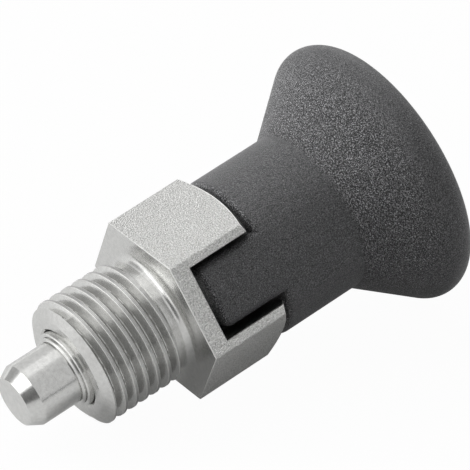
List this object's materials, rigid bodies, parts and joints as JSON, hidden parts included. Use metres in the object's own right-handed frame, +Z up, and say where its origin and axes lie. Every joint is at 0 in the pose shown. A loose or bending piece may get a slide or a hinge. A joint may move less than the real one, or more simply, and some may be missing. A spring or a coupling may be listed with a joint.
{
  "type": "indexing plunger",
  "caption": "Spring-loaded indexing plunger: threaded sleeve with notched hexagon, locating pin and mushroom grip.",
  "frame": {"origin": "centre of the hexagon's seat face, on the plunger's axis", "axes": "+X runs from the nose to the grip in plan, +Z is up; the plunger lies on one hexagon flat's seat edge and on the grip's rim, so its axis rises 11.64 degrees from +X towards +Z"},
  "size_m": [0.0369, 0.0214, 0.0211],
  "materials": {
    "bright_steel": "fine blasted",
    "ground_steel": "fine turned",
    "spring_wire": "drawn wire",
    "black_plastic": "spark-eroded grain"
  },
  "bodies": {
    "sleeve_body": {"sleeve": "bright_steel"},
    "spring_body": {"compression_spring": "spring_wire"},
    "plunger_body": {"locating_pin": "ground_steel", "mushroom_grip": "black_plastic"}
  },
  "joints": [
    {"name": "turn", "type": "hinge", "parent": "sleeve_body", "child": "spring_body", "pos_m": [0, 0, 0], "axis": [0.9794, 0, 0.2018], "range_deg": [-4.3, 4.3]},
    {"name": "pull", "type": "slide", "parent": "spring_body", "child": "plunger_body", "axis": [0.9794, 0, 0.2018], "range_m": [0, 0.0055], "stiffness_N_per_m": 790, "deforming": ["compression_spring"]}
  ]
}
